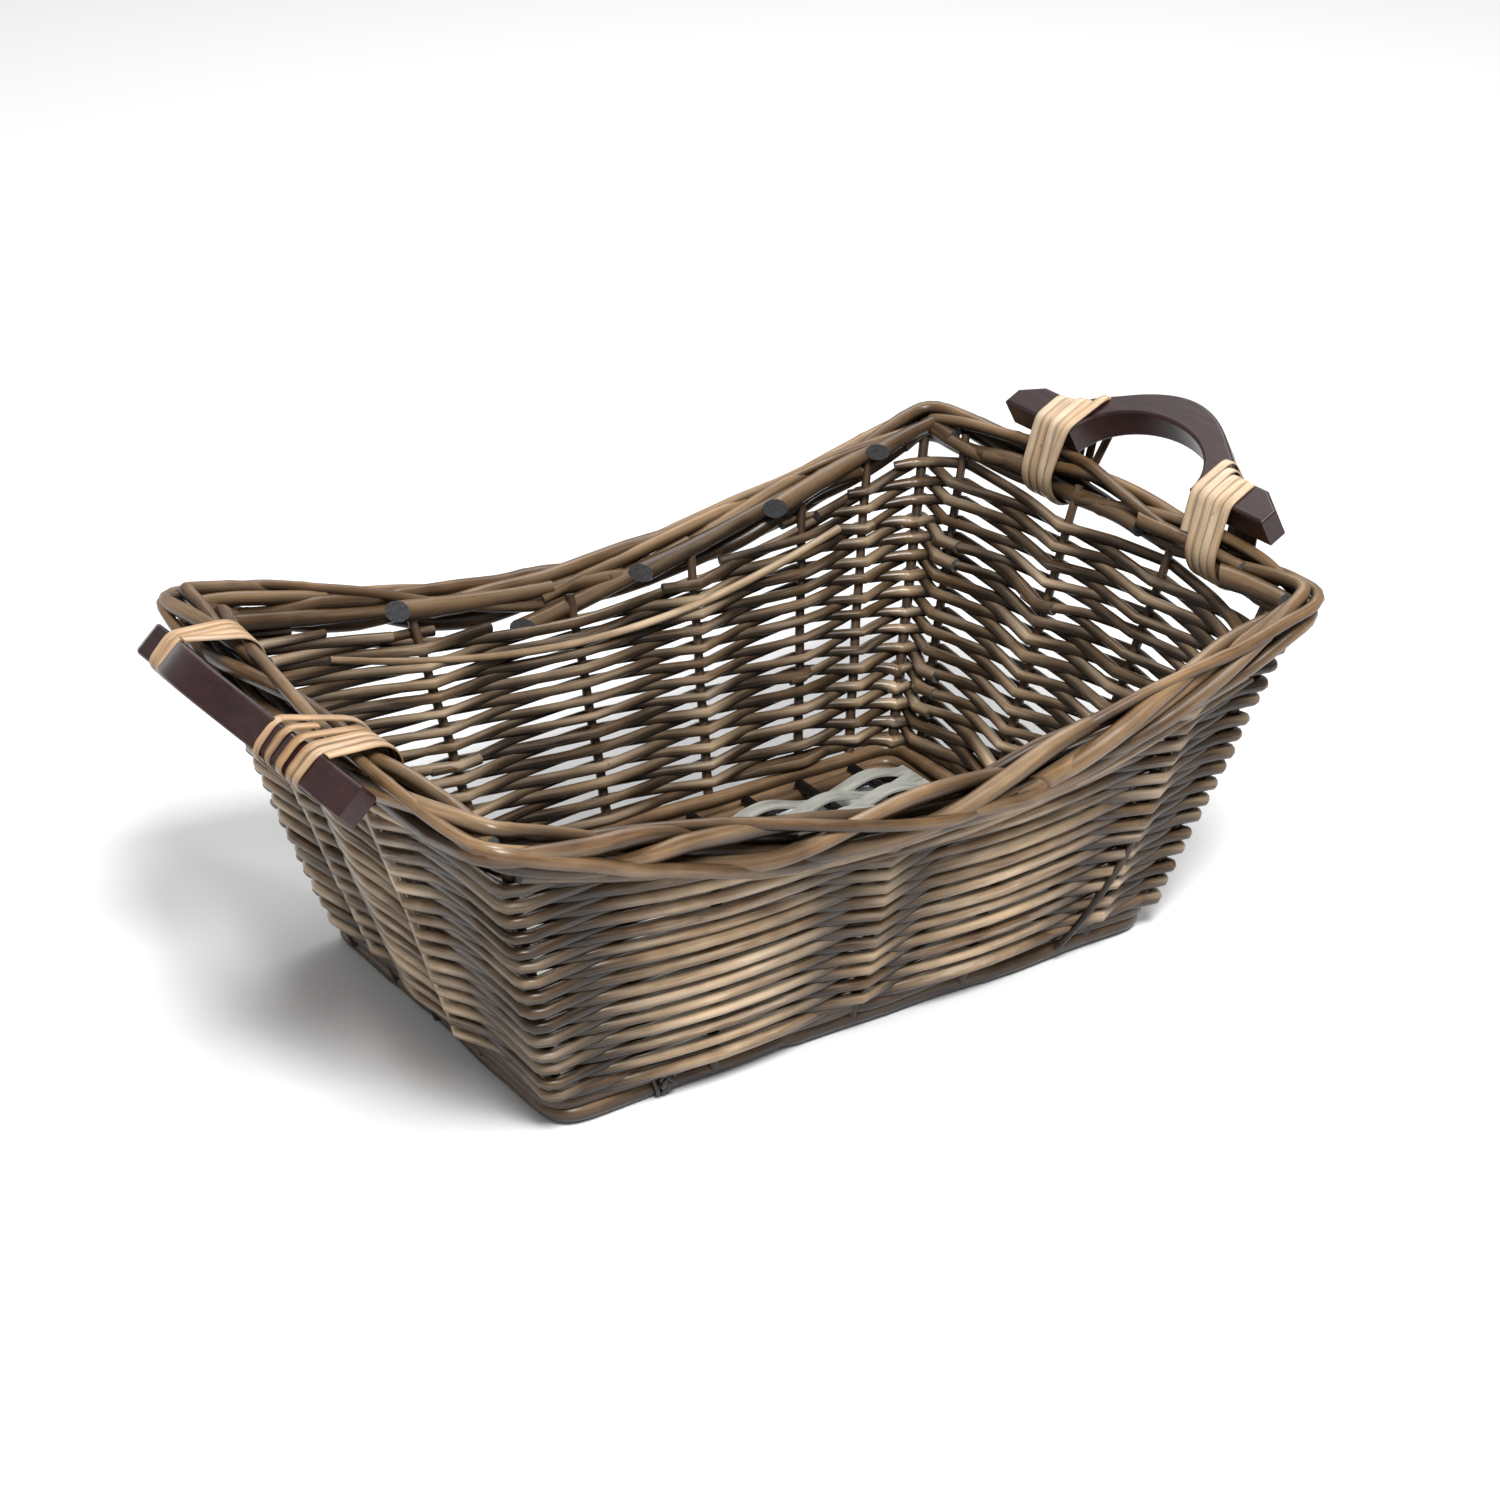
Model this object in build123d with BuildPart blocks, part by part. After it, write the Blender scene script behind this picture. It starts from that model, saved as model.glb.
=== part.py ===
from build123d import *
import math
import os

# Wicker log basket. Millimetres, +Z up, origin at the bottom centre of the base.
# Long sides run along X, and the two handles sit over the short ends at +X and -X.

# Basket outline
CORNER_HEIGHT = 189.0        # top of the rim border at the corners
FRAME_SHIFT = 5.41          # the left handle reaches further out, so the basket moves right to centre its box
SCOOP_DEPTH = 44.0           # how far the long rims dip at their middle
RIM_HALF_LENGTH = 230.5      # outside of the rim border, along X
RIM_HALF_WIDTH = 160.0       # outside of the rim border, along Y
BASE_HALF_LENGTH = 169.5     # outside of the foot border, along X
BASE_HALF_WIDTH = 108.0      # outside of the foot border, along Y
END_BOW = 10.0               # outward bow of each short rim
SIDE_BOW = 4.0               # outward bow of each long rim
CLEARANCE = 0.35             # gap left between neighbouring pieces

# Rim border: four rods laid in a slow twist
BORDER_ROD_RADIUS = 4.0
BORDER_SPREAD_OUT = 6.3      # rod centre to bundle centre, across the wall
BORDER_SPREAD_UP = 8.8       # rod centre to bundle centre, upwards
BORDER_RODS = 4
LONG_TWIST = 2 * math.pi     # twist of the bundle along a long side
SHORT_TWIST = math.pi        # twist of the bundle along a short side
BORDER_POINTS = 17           # points that guide each rod's curve
BORDER_HALF_OUT = BORDER_SPREAD_OUT + BORDER_ROD_RADIUS
BORDER_HALF_UP = BORDER_SPREAD_UP + BORDER_ROD_RADIUS
BORDER_OVERRUN = 14.0        # rod length past the corner before it is mitred

# Foot border: three rods round the base, the lower two flattened where they stand
FOOT_ROD_RADIUS = 4.1
FOOT_LOW_Z = 3.6
FOOT_HIGH_Z = 12.0
FOOT_INNER_INSET = 8.7       # inner foot rod to outer foot rod
FOOT_TOP = FOOT_HIGH_Z + FOOT_ROD_RADIUS

# Woven walls
WALL_THICKNESS = 12.0
WALL_BOTTOM = FOOT_TOP + 2.4    # leaves room for the foot tie
WALL_TOP_GAP = 3.2           # open gap under the border, where the lashings pass
STAKE_RADIUS = 2.75
POST_RADIUS = 4.0
FRONT_STAKES = (-100.0, -10.0, 62.0, 149.0)
BACK_STAKES = (-160.0, -123.0, -58.0, 11.0, 95.0)
RIGHT_STAKES = (-109.0, -40.0, 25.0, 103.0)
LEFT_STAKES = (-100.0, -50.0, 0.0, 50.0)

# Floor
STICK_RADIUS = 2.9
STICK_PITCH = 34.0
STICK_COUNT = 9
STICK_Z = FOOT_LOW_Z + FOOT_ROD_RADIUS + 0.3 + STICK_RADIUS
STRIP_WIDTH = 9.0
STRIP_PITCH = 9.6
STRIP_COUNT = 18
STRIP_THICKNESS = 1.4
STRIP_WAVE = STICK_RADIUS + STRIP_THICKNESS / 2 + 0.2
STRIP_HALF_LENGTH = BASE_HALF_LENGTH - 2 * FOOT_ROD_RADIUS - 1.0
STRIP_STEPS = 48             # points that guide each strip's wave

# Handles
LEFT, RIGHT = -1, 1          # the two ends of the basket, as signs of X
HANDLE_X = {LEFT: 252.0, RIGHT: 235.5}      # centre of the handle's foot section
HANDLE_Y = {LEFT: 10.0, RIGHT: -10.0}
HANDLE_Z = {LEFT: 180.0, RIGHT: 200.8}
HANDLE_LEAN = {LEFT: 43.0, RIGHT: 62.0}     # outward lean of the hump from vertical, degrees
HANDLE_HALF_LENGTH = 100.0
HANDLE_DEPTH = 18.0          # section in the plane of the hump
HANDLE_WIDTH = 16.5          # section across the plane of the hump
HUMP_RISE = 29.5
HUMP_HALF_BASE = 66.0        # half length over which the hump rises
HUMP_POWER = 1.4             # how full the hump's outline is
HUMP_STEPS = 12              # points that guide the hump's outline
GRIP_HALF_LENGTH = 47.0      # finger gap, half an ellipse
GRIP_HEIGHT = 30.5
CHAMFER_LENGTH = 14.0        # sloped ends of the feet
CHAMFER_DEPTH = 8.0
HANDLE_EDGE = 1.6            # rounding of the long edges

# Lashings
LASHING_OFFSETS = (-64.0, 64.0)
LASHING_TURNS = 4
CANE_WIDTH = 5.6
CANE_PITCH = 6.4
CANE_THICKNESS = 1.3
CANE_CLEARANCE = 0.5

# Foot tie, a thin twisted wire near the front left corner
TIE_X = -118.0
TIE_WIRE = 1.5
TIE_TURNS = 3
TIE_PITCH = 2.6
TIE_FLOOR_GAP = 0.4          # the wire stays this far off the floor, bitten into the rod

# Each side: unit vector along it, unit vector outwards, and the twist phase where it starts.
# The sides follow one another anticlockwise seen from above.
SIDES = {
    "front": ((1, 0), (0, -1), 0.0),
    "right": ((0, 1), (1, 0), LONG_TWIST),
    "back": ((-1, 0), (0, 1), LONG_TWIST + SHORT_TWIST),
    "left": ((0, -1), (-1, 0), 2 * LONG_TWIST + SHORT_TWIST),
}
LONG_SIDES = ("front", "back")

BORDER_MID_X = RIM_HALF_LENGTH - BORDER_HALF_OUT
BORDER_MID_Y = RIM_HALF_WIDTH - BORDER_HALF_OUT
FOOT_MID_X = BASE_HALF_LENGTH - FOOT_ROD_RADIUS
FOOT_MID_Y = BASE_HALF_WIDTH - FOOT_ROD_RADIUS


def wall_half_x(z):
    """Half length of the walls' middle surface at height z."""
    return FOOT_MID_X + (BORDER_MID_X - FOOT_MID_X) * z / CORNER_HEIGHT


def wall_half_y(z):
    """Half width of the walls' middle surface at height z."""
    return FOOT_MID_Y + (BORDER_MID_Y - FOOT_MID_Y) * z / CORNER_HEIGHT


def side_halves(side, z):
    """Half length along a side, and its distance from the centre, at height z."""
    if side in LONG_SIDES:
        return wall_half_x(z), wall_half_y(z)
    return wall_half_y(z), wall_half_x(z)


def side_bow(side, z):
    """Outward bow of a side at its middle, growing from the foot to the rim."""
    full = SIDE_BOW if side in LONG_SIDES else END_BOW
    return full * z / CORNER_HEIGHT


def on_side(side, along, outward):
    """Plan position of a point given along a side and outwards from the centre."""
    (ax, ay), (ox, oy), _ = SIDES[side]
    return ax * along + ox * outward, ay * along + oy * outward


def rim_drop(side, along):
    """How far the rim lies below the corner height at a point along a side."""
    if side not in LONG_SIDES:
        return 0.0
    share = min(1.0, abs(along) / BORDER_MID_X)
    return SCOOP_DEPTH * math.cos(math.pi / 2 * share)


def wall_point(side, share, z):
    """Point on a wall's middle surface; share runs from -1 to 1 along the side."""
    half, distance = side_halves(side, z)
    bow = side_bow(side, z) * (1 - share * share)
    x, y = on_side(side, half * share, distance + bow)
    return x, y, z


def mitre_plane(side, end, z, gap):
    """Upright plane that ends a side at a corner; end is -1 or 1."""
    half, distance = side_halves(side, z)
    cx, cy = on_side(side, end * half, distance)
    nx, ny = on_side(side, end, -1)
    size = math.hypot(nx, ny)
    nx, ny = nx / size, ny / size
    return Plane(origin=(cx - nx * gap, cy - ny * gap, z), z_dir=(nx, ny, 0))


def mitre_both_ends(side, z):
    """Cut the part being built at both corners of its side."""
    for end in (-1, 1):
        split(bisect_by=mitre_plane(side, end, z, CLEARANCE), keep=Keep.BOTTOM)


def border_rod_point(side, along, rod):
    """Centre of one border rod at a point along a side."""
    half, distance = side_halves(side, CORNER_HEIGHT)
    share = along / half
    twist = LONG_TWIST if side in LONG_SIDES else SHORT_TWIST
    phase = SIDES[side][2] + twist * (share + 1) / 2 + 2 * math.pi * rod / BORDER_RODS
    bow = side_bow(side, CORNER_HEIGHT) * (1 - share * share)
    x, y = on_side(side, along, distance + bow + BORDER_SPREAD_OUT * math.cos(phase))
    centre_z = CORNER_HEIGHT - BORDER_HALF_UP - rim_drop(side, along)
    return x, y, centre_z + BORDER_SPREAD_UP * math.sin(phase)


def make_border(side):
    """The twisted rods of the rim border on one side."""
    half = side_halves(side, CORNER_HEIGHT)[0] + BORDER_OVERRUN
    with BuildPart() as border:
        for rod in range(BORDER_RODS):
            stations = [half * (2 * i / (BORDER_POINTS - 1) - 1) for i in range(BORDER_POINTS)]
            with BuildLine() as path:
                Spline([border_rod_point(side, s, rod) for s in stations])
            with BuildSketch(Plane(origin=path.line @ 0, z_dir=path.line % 0)):
                Circle(BORDER_ROD_RADIUS)
            sweep(path=path.line)
        mitre_both_ends(side, CORNER_HEIGHT)
    return border


def hull_of(shapes):
    """Closed outline stretched round every edge of a sketch."""
    with BuildSketch() as hull:
        make_hull(shapes.sketch.edges())
    return hull.sketch


def wound_bands(plane, outline, starts, gap, thickness, width):
    """Flat bands wound round an outline, one at each start distance along the plane's normal."""
    with BuildPart() as bands:
        for start in starts:
            with BuildSketch(plane.offset(start)):
                offset(outline, amount=gap + thickness)
                offset(outline, amount=gap, mode=Mode.SUBTRACT)
            extrude(amount=width)
    return bands


def make_tie(gap, thickness, width):
    """Turns of wire round the two outer rods of the front foot border."""
    raised = FOOT_ROD_RADIUS + TIE_WIRE + TIE_FLOOR_GAP
    with BuildSketch() as rods:
        with Locations((-FOOT_MID_Y, raised), (-FOOT_MID_Y, FOOT_HIGH_Z)):
            Circle(FOOT_ROD_RADIUS)
    plane = Plane(origin=(TIE_X, 0, 0), x_dir=(0, 1, 0), z_dir=(1, 0, 0))
    spare = (width - TIE_WIRE) / 2
    starts = [TIE_PITCH * turn - spare for turn in range(TIE_TURNS)]
    return wound_bands(plane, hull_of(rods), starts, gap, thickness, width)


def make_foot(side):
    """The rods of the foot border on one side, flat where the basket stands on them."""
    half, distance = (FOOT_MID_X, FOOT_MID_Y) if side in LONG_SIDES else (FOOT_MID_Y, FOOT_MID_X)
    rods = ((0.0, FOOT_LOW_Z), (0.0, FOOT_HIGH_Z), (-FOOT_INNER_INSET, FOOT_LOW_Z))
    reach = half + 2 * FOOT_ROD_RADIUS
    wire_groove = make_tie(0.0, TIE_WIRE + 2 * CLEARANCE, TIE_WIRE + 2 * CLEARANCE)
    with BuildPart() as foot:
        for inset, z in rods:
            start = Vector(*on_side(side, -reach, distance + inset), z)
            end = Vector(*on_side(side, reach, distance + inset), z)
            with BuildSketch(Plane(origin=start, z_dir=end - start)):
                Circle(FOOT_ROD_RADIUS)
            extrude(amount=2 * reach)
        split(bisect_by=Plane.XY, keep=Keep.TOP)
        mitre_both_ends(side, 0)
        if side == "front":
            add(wire_groove.part, mode=Mode.SUBTRACT)
    return foot


def make_rod(start, end, radius, mode=Mode.ADD):
    """A straight rod added to, or a straight bore cut from, the part being built."""
    run = Vector(*end) - Vector(*start)
    with BuildSketch(Plane(origin=start, z_dir=run)) as section:
        Circle(radius)
    extrude(section.sketch, amount=run.length, mode=mode)


def stake_line(side, along, drop=0.0):
    """Foot and tip of the stake that crosses mid height at a distance along its side."""
    share = along / side_halves(side, CORNER_HEIGHT / 2)[0]
    tip_along = share * side_halves(side, CORNER_HEIGHT)[0]
    top = CORNER_HEIGHT - 2 * BORDER_HALF_UP - rim_drop(side, tip_along) - drop
    return wall_point(side, share, WALL_BOTTOM), wall_point(side, share, top)


def make_stakes(side, positions):
    """The stakes that stand between the corner posts of one wall."""
    with BuildPart() as stakes:
        for along in positions:
            foot, tip = stake_line(side, along, CLEARANCE)
            make_rod(foot, tip, STAKE_RADIUS)
    return stakes


def post_line(side):
    """Foot and tip of the corner post where a side starts."""
    top = CORNER_HEIGHT - 2 * BORDER_HALF_UP - 0.75 * POST_RADIUS
    return wall_point(side, -1, WALL_BOTTOM), wall_point(side, -1, top)


def make_post(side):
    """The corner post at the start of a side."""
    foot, tip = post_line(side)
    with BuildPart() as post:
        make_rod(foot, tip, POST_RADIUS)
    return post


def wall_section(side, z):
    """Plan outline of a wall at height z, inner and outer faces bowed alike."""
    half, distance = side_halves(side, z)
    bow = side_bow(side, z)
    faces = []
    for offset_out in (-WALL_THICKNESS / 2, WALL_THICKNESS / 2):
        reach = half + offset_out - CLEARANCE
        ends = [on_side(side, end * reach, distance + offset_out) for end in (-1, 1)]
        middle = on_side(side, 0, distance + offset_out + bow)
        faces.append((ends[0], middle, ends[1]))
    (in_start, in_mid, in_end), (out_start, out_mid, out_end) = faces
    with BuildSketch(Plane.XY.offset(z)) as section:
        with BuildLine():
            ThreePointArc(in_start, in_mid, in_end)
            Line(in_end, out_end)
            ThreePointArc(out_end, out_mid, out_start)
            Line(out_start, in_start)
        make_face()
    return section


def make_wall(side, positions):
    """The woven wall of one side as a closed slab, bored for its stakes and corner posts."""
    top = CORNER_HEIGHT - 2 * BORDER_HALF_UP - WALL_TOP_GAP
    low = wall_section(side, WALL_BOTTOM)
    high = wall_section(side, top)
    with BuildPart() as wall:
        loft([low.sketch.face(), high.sketch.face()])
        if side in LONG_SIDES:
            reach = 1.2 * BORDER_MID_X
            steps = [reach * (2 * i / STRIP_STEPS - 1) for i in range(STRIP_STEPS + 1)]
            curve = [(x, top - rim_drop(side, x)) for x in steps]
            with BuildSketch(Plane.XZ):
                with BuildLine():
                    Spline(curve)
                    Polyline(curve[-1], (reach, 2 * top), (-reach, 2 * top), curve[0])
                make_face()
            extrude(amount=2 * BORDER_MID_Y, both=True, mode=Mode.SUBTRACT)
        for along in positions:
            foot, tip = stake_line(side, along, -WALL_THICKNESS)
            make_rod(foot, tip, STAKE_RADIUS + CLEARANCE, Mode.SUBTRACT)
        for start_side in (side, NEXT_SIDE[side]):
            foot, tip = post_line(start_side)
            make_rod(foot, tip, POST_RADIUS + CLEARANCE, Mode.SUBTRACT)
    return wall


def make_sticks():
    """Round sticks that cross the base under and over the floor strips."""
    half = BASE_HALF_WIDTH - 2 * FOOT_ROD_RADIUS - 2 * CLEARANCE
    with BuildPart() as sticks:
        for i in range(STICK_COUNT):
            x = STICK_PITCH * (i - (STICK_COUNT - 1) / 2)
            make_rod((x, -half, STICK_Z), (x, half, STICK_Z), STICK_RADIUS)
    return sticks


def make_strips():
    """Flat floor strips, each waving over and under the sticks, every other one in step."""
    with BuildPart() as strips:
        for i in range(STRIP_COUNT):
            y = STRIP_PITCH * (i - (STRIP_COUNT - 1) / 2)
            sign = 1 if i % 2 else -1
            upper = []
            lower = []
            for k in range(STRIP_STEPS + 1):
                x = STRIP_HALF_LENGTH * (2 * k / STRIP_STEPS - 1)
                wave = 0.0
                if abs(x) < STICK_PITCH * STICK_COUNT / 2:
                    wave = sign * STRIP_WAVE * math.cos(math.pi * x / STICK_PITCH)
                upper.append((x, STICK_Z + wave + STRIP_THICKNESS / 2))
                lower.append((x, STICK_Z + wave - STRIP_THICKNESS / 2))
            with BuildSketch(Plane.XZ.offset(-y - STRIP_WIDTH / 2)):
                with BuildLine():
                    Spline(upper)
                    Line(upper[-1], lower[-1])
                    Spline(lower[::-1])
                    Line(lower[0], upper[0])
                make_face()
            extrude(amount=STRIP_WIDTH)
    return strips


def handle_plane(end):
    """Plane of a handle's hump: its x runs along Y and its y rises outwards."""
    lean = math.radians(HANDLE_LEAN[end])
    rise = Vector(end * math.sin(lean), 0, math.cos(lean))
    along = Vector(0, 1, 0)
    middle = (end * HANDLE_X[end], HANDLE_Y[end], HANDLE_Z[end])
    return Plane(origin=middle, x_dir=along, z_dir=along.cross(rise))


def hump_rise(distance):
    """Height of the hump above the feet at a distance from the handle's middle."""
    share = min(1.0, abs(distance) / HUMP_HALF_BASE)
    return HUMP_RISE * (1 - share * share) ** HUMP_POWER


def make_handle(end):
    """A wooden handle: flat feet with sloped ends, a rounded hump and a half-oval finger gap."""
    plane = handle_plane(end)
    bottom = -HANDLE_DEPTH / 2
    top = HANDLE_DEPTH / 2
    steps = [HUMP_HALF_BASE * (2 * i / HUMP_STEPS - 1) for i in range(HUMP_STEPS + 1)]
    hump = [(s, top + hump_rise(s)) for s in steps]
    sloped = HANDLE_HALF_LENGTH - CHAMFER_LENGTH
    with BuildPart() as handle:
        with BuildSketch(plane):
            with BuildLine():
                Spline(hump, tangents=[(1, 0), (1, 0)])
                Polyline(hump[-1], (sloped, top), (HANDLE_HALF_LENGTH, top - CHAMFER_DEPTH),
                         (HANDLE_HALF_LENGTH, bottom), (-HANDLE_HALF_LENGTH, bottom),
                         (-HANDLE_HALF_LENGTH, top - CHAMFER_DEPTH), (-sloped, top), hump[0])
            make_face()
            with Locations((0, bottom)):
                Ellipse(GRIP_HALF_LENGTH, GRIP_HEIGHT, mode=Mode.SUBTRACT)
        extrude(amount=HANDLE_WIDTH / 2, both=True)
        flat = [f for f in handle.faces() if abs(f.normal_at().dot(plane.z_dir)) > 0.99]
        fillet([e for f in flat for e in f.edges()], radius=HANDLE_EDGE)
    return handle


def foot_corners(lift):
    """Corners of the handle's foot section, raised on its outer side by the start of the hump."""
    half_width = HANDLE_WIDTH / 2 - HANDLE_EDGE
    half_depth = HANDLE_DEPTH / 2 - HANDLE_EDGE
    return [(x, y) for x in (-half_width, half_width) for y in (-half_depth, half_depth + lift)]


def make_lashing(end, offset_y):
    """Turns of flat cane round a handle foot and the rim border."""
    y_mid = HANDLE_Y[end] + offset_y
    share = y_mid / BORDER_MID_Y
    border_x = BORDER_MID_X + END_BOW * (1 - share * share)
    border_z = CORNER_HEIGHT - BORDER_HALF_UP
    spread = BORDER_HALF_UP - BORDER_HALF_OUT
    middle_turn = (LASHING_TURNS - 1) / 2
    with BuildPart() as lashing:
        for turn in range(LASHING_TURNS):
            shift = CANE_PITCH * (turn - middle_turn)
            nearest = min(abs(offset_y + shift - CANE_WIDTH / 2), abs(offset_y + shift + CANE_WIDTH / 2))
            with BuildSketch() as shapes:
                with Locations((border_x, border_z - spread), (border_x, border_z + spread)):
                    Circle(BORDER_HALF_OUT)
                with Locations(Location((HANDLE_X[end], HANDLE_Z[end]), -HANDLE_LEAN[end])):
                    with Locations(*foot_corners(hump_rise(nearest))):
                        Circle(HANDLE_EDGE)
            start = (0, y_mid + shift + end * CANE_WIDTH / 2, 0)
            plane = Plane(origin=start, x_dir=(end, 0, 0), z_dir=(0, -end, 0))
            add(wound_bands(plane, hull_of(shapes), [0], CANE_CLEARANCE, CANE_THICKNESS, CANE_WIDTH).part)
    return lashing


def save(piece, name):
    """Move a finished piece into the frame centred on the overall box, label it and write its STEP file."""
    placed = piece.part.moved(Location((FRAME_SHIFT, 0, 0)))
    placed.label = name
    export_step(placed, f"parts/{name}.step")


NEXT_SIDE = {"front": "right", "right": "back", "back": "left", "left": "front"}
STAKES = {"front": FRONT_STAKES, "right": RIGHT_STAKES, "back": BACK_STAKES, "left": LEFT_STAKES}
POST_NAMES = {"front": "post_front_left", "right": "post_front_right",
              "back": "post_back_right", "left": "post_back_left"}
END_NAMES = {LEFT: "left", RIGHT: "right"}

os.makedirs("parts", exist_ok=True)

save(make_sticks(), "base_sticks")
save(make_strips(), "floor_strips")
save(make_tie(CLEARANCE, TIE_WIRE, TIE_WIRE), "foot_tie")
for side_name, stake_positions in STAKES.items():
    save(make_foot(side_name), f"foot_{side_name}")
    save(make_stakes(side_name, stake_positions), f"stakes_{side_name}")
    save(make_wall(side_name, stake_positions), f"weave_{side_name}")
    save(make_border(side_name), f"border_{side_name}")
    save(make_post(side_name), POST_NAMES[side_name])
for end_sign, end_name in END_NAMES.items():
    save(make_handle(end_sign), f"handle_{end_name}")
    for lashing_y in LASHING_OFFSETS:
        place = "front" if lashing_y < 0 else "back"
        save(make_lashing(end_sign, lashing_y), f"lashing_{end_name}_{place}")
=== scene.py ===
import math
from collections import namedtuple

import bpy
import numpy as np
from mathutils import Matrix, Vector


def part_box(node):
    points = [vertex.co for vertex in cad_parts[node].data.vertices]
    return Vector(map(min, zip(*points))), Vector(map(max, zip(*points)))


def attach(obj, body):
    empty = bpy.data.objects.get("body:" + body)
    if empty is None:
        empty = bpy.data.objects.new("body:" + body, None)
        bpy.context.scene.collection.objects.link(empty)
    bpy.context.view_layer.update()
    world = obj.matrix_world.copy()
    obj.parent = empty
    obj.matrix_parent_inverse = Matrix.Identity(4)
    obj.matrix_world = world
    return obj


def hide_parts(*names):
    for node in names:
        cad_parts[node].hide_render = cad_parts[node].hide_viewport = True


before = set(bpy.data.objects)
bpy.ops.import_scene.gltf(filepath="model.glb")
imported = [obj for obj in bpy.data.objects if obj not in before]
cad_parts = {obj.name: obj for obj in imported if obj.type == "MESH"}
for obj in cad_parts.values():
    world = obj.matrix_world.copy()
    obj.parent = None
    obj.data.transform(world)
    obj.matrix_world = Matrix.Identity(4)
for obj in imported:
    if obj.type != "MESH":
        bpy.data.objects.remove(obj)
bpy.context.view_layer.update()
rng = np.random.default_rng(11)

MM = 0.001                                  # the basket is worked out in millimetres
TINY = 1e-12
FULL_TURN = 2 * math.pi
WOUND_TURN = 6.28                           # one turn of the cane and of the wire

# the handles reach out by different amounts, so the woven part stands a little off the frame's middle
SHIFT = np.array([(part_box("border_left")[0][0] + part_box("border_right")[1][0]) / 2 / MM, 0, 0])


def box_mm(node):
    """Lowest and highest corner of a node, from the middle of the woven part."""
    low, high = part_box(node)
    return np.array(low) / MM - SHIFT, np.array(high) / MM - SHIFT


# ---------------------------------------------------------------- the basket's outline, from the CAD boxes
SIDE_BOW, END_BOW = 4.0, 10.0               # how far the rim bows outwards on the long sides and the ends
BUNDLE_OUT, BUNDLE_UP = 10.3, 12.8          # half size of the rim border
TOP = box_mm("border_right")[1][2]
RIM_X = box_mm("border_right")[1][0] - END_BOW - BUNDLE_OUT
RIM_Y = box_mm("border_back")[1][1] - SIDE_BOW - BUNDLE_OUT
RIM_MIDDLE = TOP - BUNDLE_UP                # height of the border's middle line at the corners
BORDER_LOW = TOP - 2 * BUNDLE_UP
FOOT_R = 4.1
FOOT_X = box_mm("foot_right")[1][0] - FOOT_R
FOOT_Y = box_mm("foot_back")[1][1] - FOOT_R
SCOOP = 44.0                                # how far the long rims dip in the middle
SIDES = ("front", "right", "back", "left")
ALONG = {"front": (1, 0), "right": (0, 1), "back": (-1, 0), "left": (0, -1)}
OUT = {"front": (0, -1), "right": (1, 0), "back": (0, 1), "left": (-1, 0)}
LONG = ("front", "back")


def halves(side, z):
    """Half length of a side at a height, and its distance from the middle."""
    x = FOOT_X + (RIM_X - FOOT_X) * z / TOP
    y = FOOT_Y + (RIM_Y - FOOT_Y) * z / TOP
    return (x, y) if side in LONG else (y, x)


def on_side(side, along, outward, z):
    a, o = ALONG[side], OUT[side]
    return (a[0] * along + o[0] * outward, a[1] * along + o[1] * outward, z)


def wall(side, along, z, outward=0.0):
    """Point on a wall's middle surface, moved outwards."""
    half, dist = halves(side, z)
    share = min(1.0, abs(along) / half)
    bow = (SIDE_BOW if side in LONG else END_BOW) * z / TOP
    return on_side(side, along, dist + bow * (1 - share * share) + outward, z)


def scoop_drop(side, along):
    if side not in LONG:
        return 0.0
    return SCOOP * math.cos(math.pi / 2 * min(1.0, abs(along) / RIM_X))


def smooth(points, passes):
    p = np.asarray(points, float)
    for _ in range(passes):
        q = p.copy()
        q[1:-1] = (p[:-2] + 2 * p[1:-1] + p[2:]) / 4
        p = q
    return p


def smooth_loop(points, passes):
    p = points
    for _ in range(passes):
        p = (np.roll(p, 1, 0) + 2 * p + np.roll(p, -1, 0)) / 4
    return p


def unit(vectors):
    return vectors / (np.linalg.norm(vectors, axis=-1, keepdims=True) + TINY)


def lengths_along(points):
    """Distance of each point from the first, along the line."""
    steps = np.linalg.norm(np.diff(points, axis=0), axis=1)
    return np.concatenate([[0], np.cumsum(steps)])


# ---------------------------------------------------------------- rods and bands as closed skins
FIRST_KNOT, KNOT_SPACING, KNOT_LENGTH = (8, 60), (35, 110), 2.2
CUT_SLANT = (.75, .4, .1)                   # how far the first rings lean at a slanting cut, in radii
BAND_SECTION = ((-.5, 0), (-.5, .55), (-.36, .95), (0, 1.05), (.36, .95), (.5, .55), (.5, 0), (0, -.04))
BAND_EDGES = (0, 6)                         # corners of the section that stay sharp
BAND_LIGHT = (-.25, -.1, 0, .05, 0, -.1, -.25, -.3)


def swollen(radii, dist, amount):
    """Radii with knots, which are short swellings at uneven distances."""
    radii = radii.copy()
    place = rng.uniform(*FIRST_KNOT)
    while place < dist[-1]:
        radii *= 1 + rng.uniform(.3, 1) * amount * np.exp(-((dist - place) / KNOT_LENGTH) ** 2)
        place += rng.uniform(*KNOT_SPACING)
    return radii


def carried_across(tangent):
    """Two directions across a line, carried along it without twist."""
    ref = np.array([0, 0, 1.0]) if abs(tangent[0][2]) < .9 else np.array([1.0, 0, 0])
    carried = [unit(np.cross(tangent[0], ref))]
    for t in tangent[1:]:
        carried.append(unit(carried[-1] - t * carried[-1].dot(t)))
    u = np.array(carried)
    return u, np.cross(tangent, u)


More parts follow.
